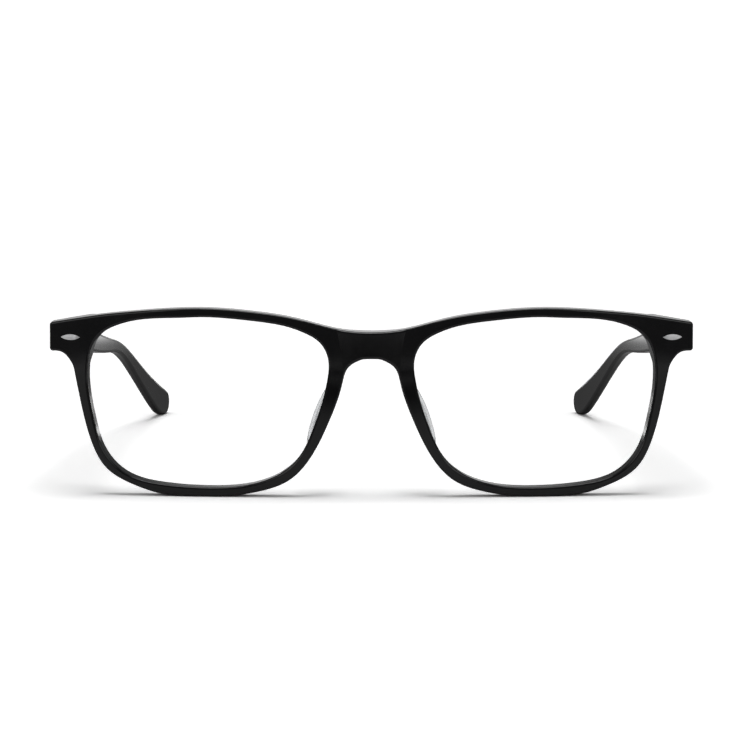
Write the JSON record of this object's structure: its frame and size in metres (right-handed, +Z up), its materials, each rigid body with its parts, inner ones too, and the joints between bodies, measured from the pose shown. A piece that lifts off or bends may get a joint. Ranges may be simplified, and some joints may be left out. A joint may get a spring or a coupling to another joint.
{
  "type": "eyeglasses frame",
  "caption": "Full-rim eyeglasses frame in glossy black acetate, with clear lenses, clear nose pads and temples that fold inwards on barrel hinges.",
  "frame": {"origin": "on the ground under the middle of the open frame, halfway from the rims' front to the temple tips", "axes": "+Z up, -Y the way the wearer looks, +Y towards the temple tips, +X the wearer's left"},
  "size_m": [0.141, 0.1423, 0.0414],
  "materials": {
    "black_acetate": "hand-polished black cellulose acetate",
    "clear_lens": "clear demonstration lens",
    "clear_pad": "clear polished acetate",
    "silver_pin": "polished nickel silver",
    "hinge_metal": "nickel silver, tumbled",
    "core_wire": "drawn nickel silver wire"
  },
  "bodies": {
    "front": {"front_frame": "black_acetate", "lens_left": "clear_lens", "lens_right": "clear_lens", "nose_pad_left": "clear_pad", "nose_pad_right": "clear_pad", "end_pin_left": "silver_pin", "end_pin_right": "silver_pin", "front_hinge_leaf_left": "hinge_metal", "front_hinge_leaf_right": "hinge_metal", "hinge_screw_left": "hinge_metal", "hinge_screw_right": "hinge_metal"},
    "temple_left": {"temple_left": "black_acetate", "temple_hinge_leaf_left": "hinge_metal", "temple_core_left": "core_wire"},
    "temple_right": {"temple_right": "black_acetate", "temple_hinge_leaf_right": "hinge_metal", "temple_core_right": "core_wire"}
  },
  "joints": [
    {"name": "left_temple_fold", "type": "hinge", "parent": "front", "child": "temple_left", "pos_m": [0.0646, -0.0587, 0.0349], "axis": [0, 0, 1], "range_deg": [0, 86]},
    {"name": "right_temple_fold", "type": "hinge", "parent": "front", "child": "temple_right", "pos_m": [-0.0646, -0.0587, 0.0349], "axis": [0, 0, -1], "range_deg": [0, 80]}
  ]
}
